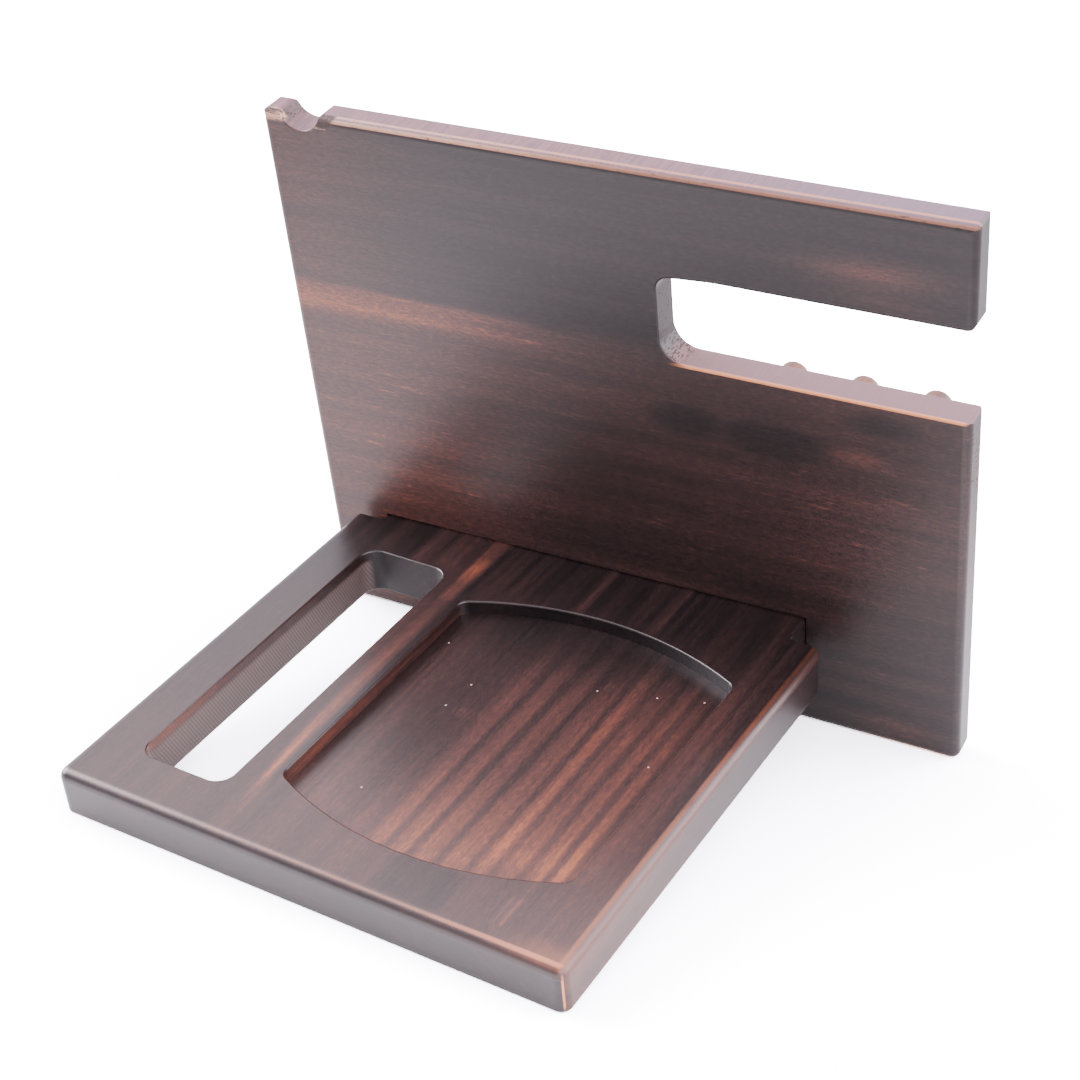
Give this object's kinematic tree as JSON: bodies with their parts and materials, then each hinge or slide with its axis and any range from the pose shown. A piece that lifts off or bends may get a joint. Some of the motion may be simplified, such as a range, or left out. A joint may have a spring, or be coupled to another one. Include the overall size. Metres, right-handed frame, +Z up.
{
  "type": "phone stand",
  "caption": "Wooden desk stand: a leaning back panel with an open side slot, locked by tenon to a sloping tray with a slot and a recess, key pegs behind.",
  "frame": {"origin": "on the desk, under the middle of the stand's bounding box", "axes": "+X to the right of somebody facing the stand, +Y away from them towards the back of the panel, +Z up"},
  "size_m": [0.24, 0.2036, 0.1964],
  "materials": {
    "tray_wood": "dark walnut stain under satin lacquer, grain front to back, edges sanded through to tan",
    "panel_wood": "espresso walnut stain under satin lacquer, grain along the width, top edges sanded through to tan",
    "peg_wood": "stained hardwood dowel, satin lacquer"
  },
  "bodies": {
    "tray": {"tray": "tray_wood"},
    "panel": {"back_panel": "panel_wood", "key_peg_left": "peg_wood", "key_peg_middle": "peg_wood", "key_peg_right": "peg_wood"}
  },
  "joints": [
    {"name": "panel_pull_off", "type": "slide", "parent": "tray", "child": "panel", "axis": [0.0551, 0.9864, 0.1547], "range_m": [0, 0.04]}
  ]
}
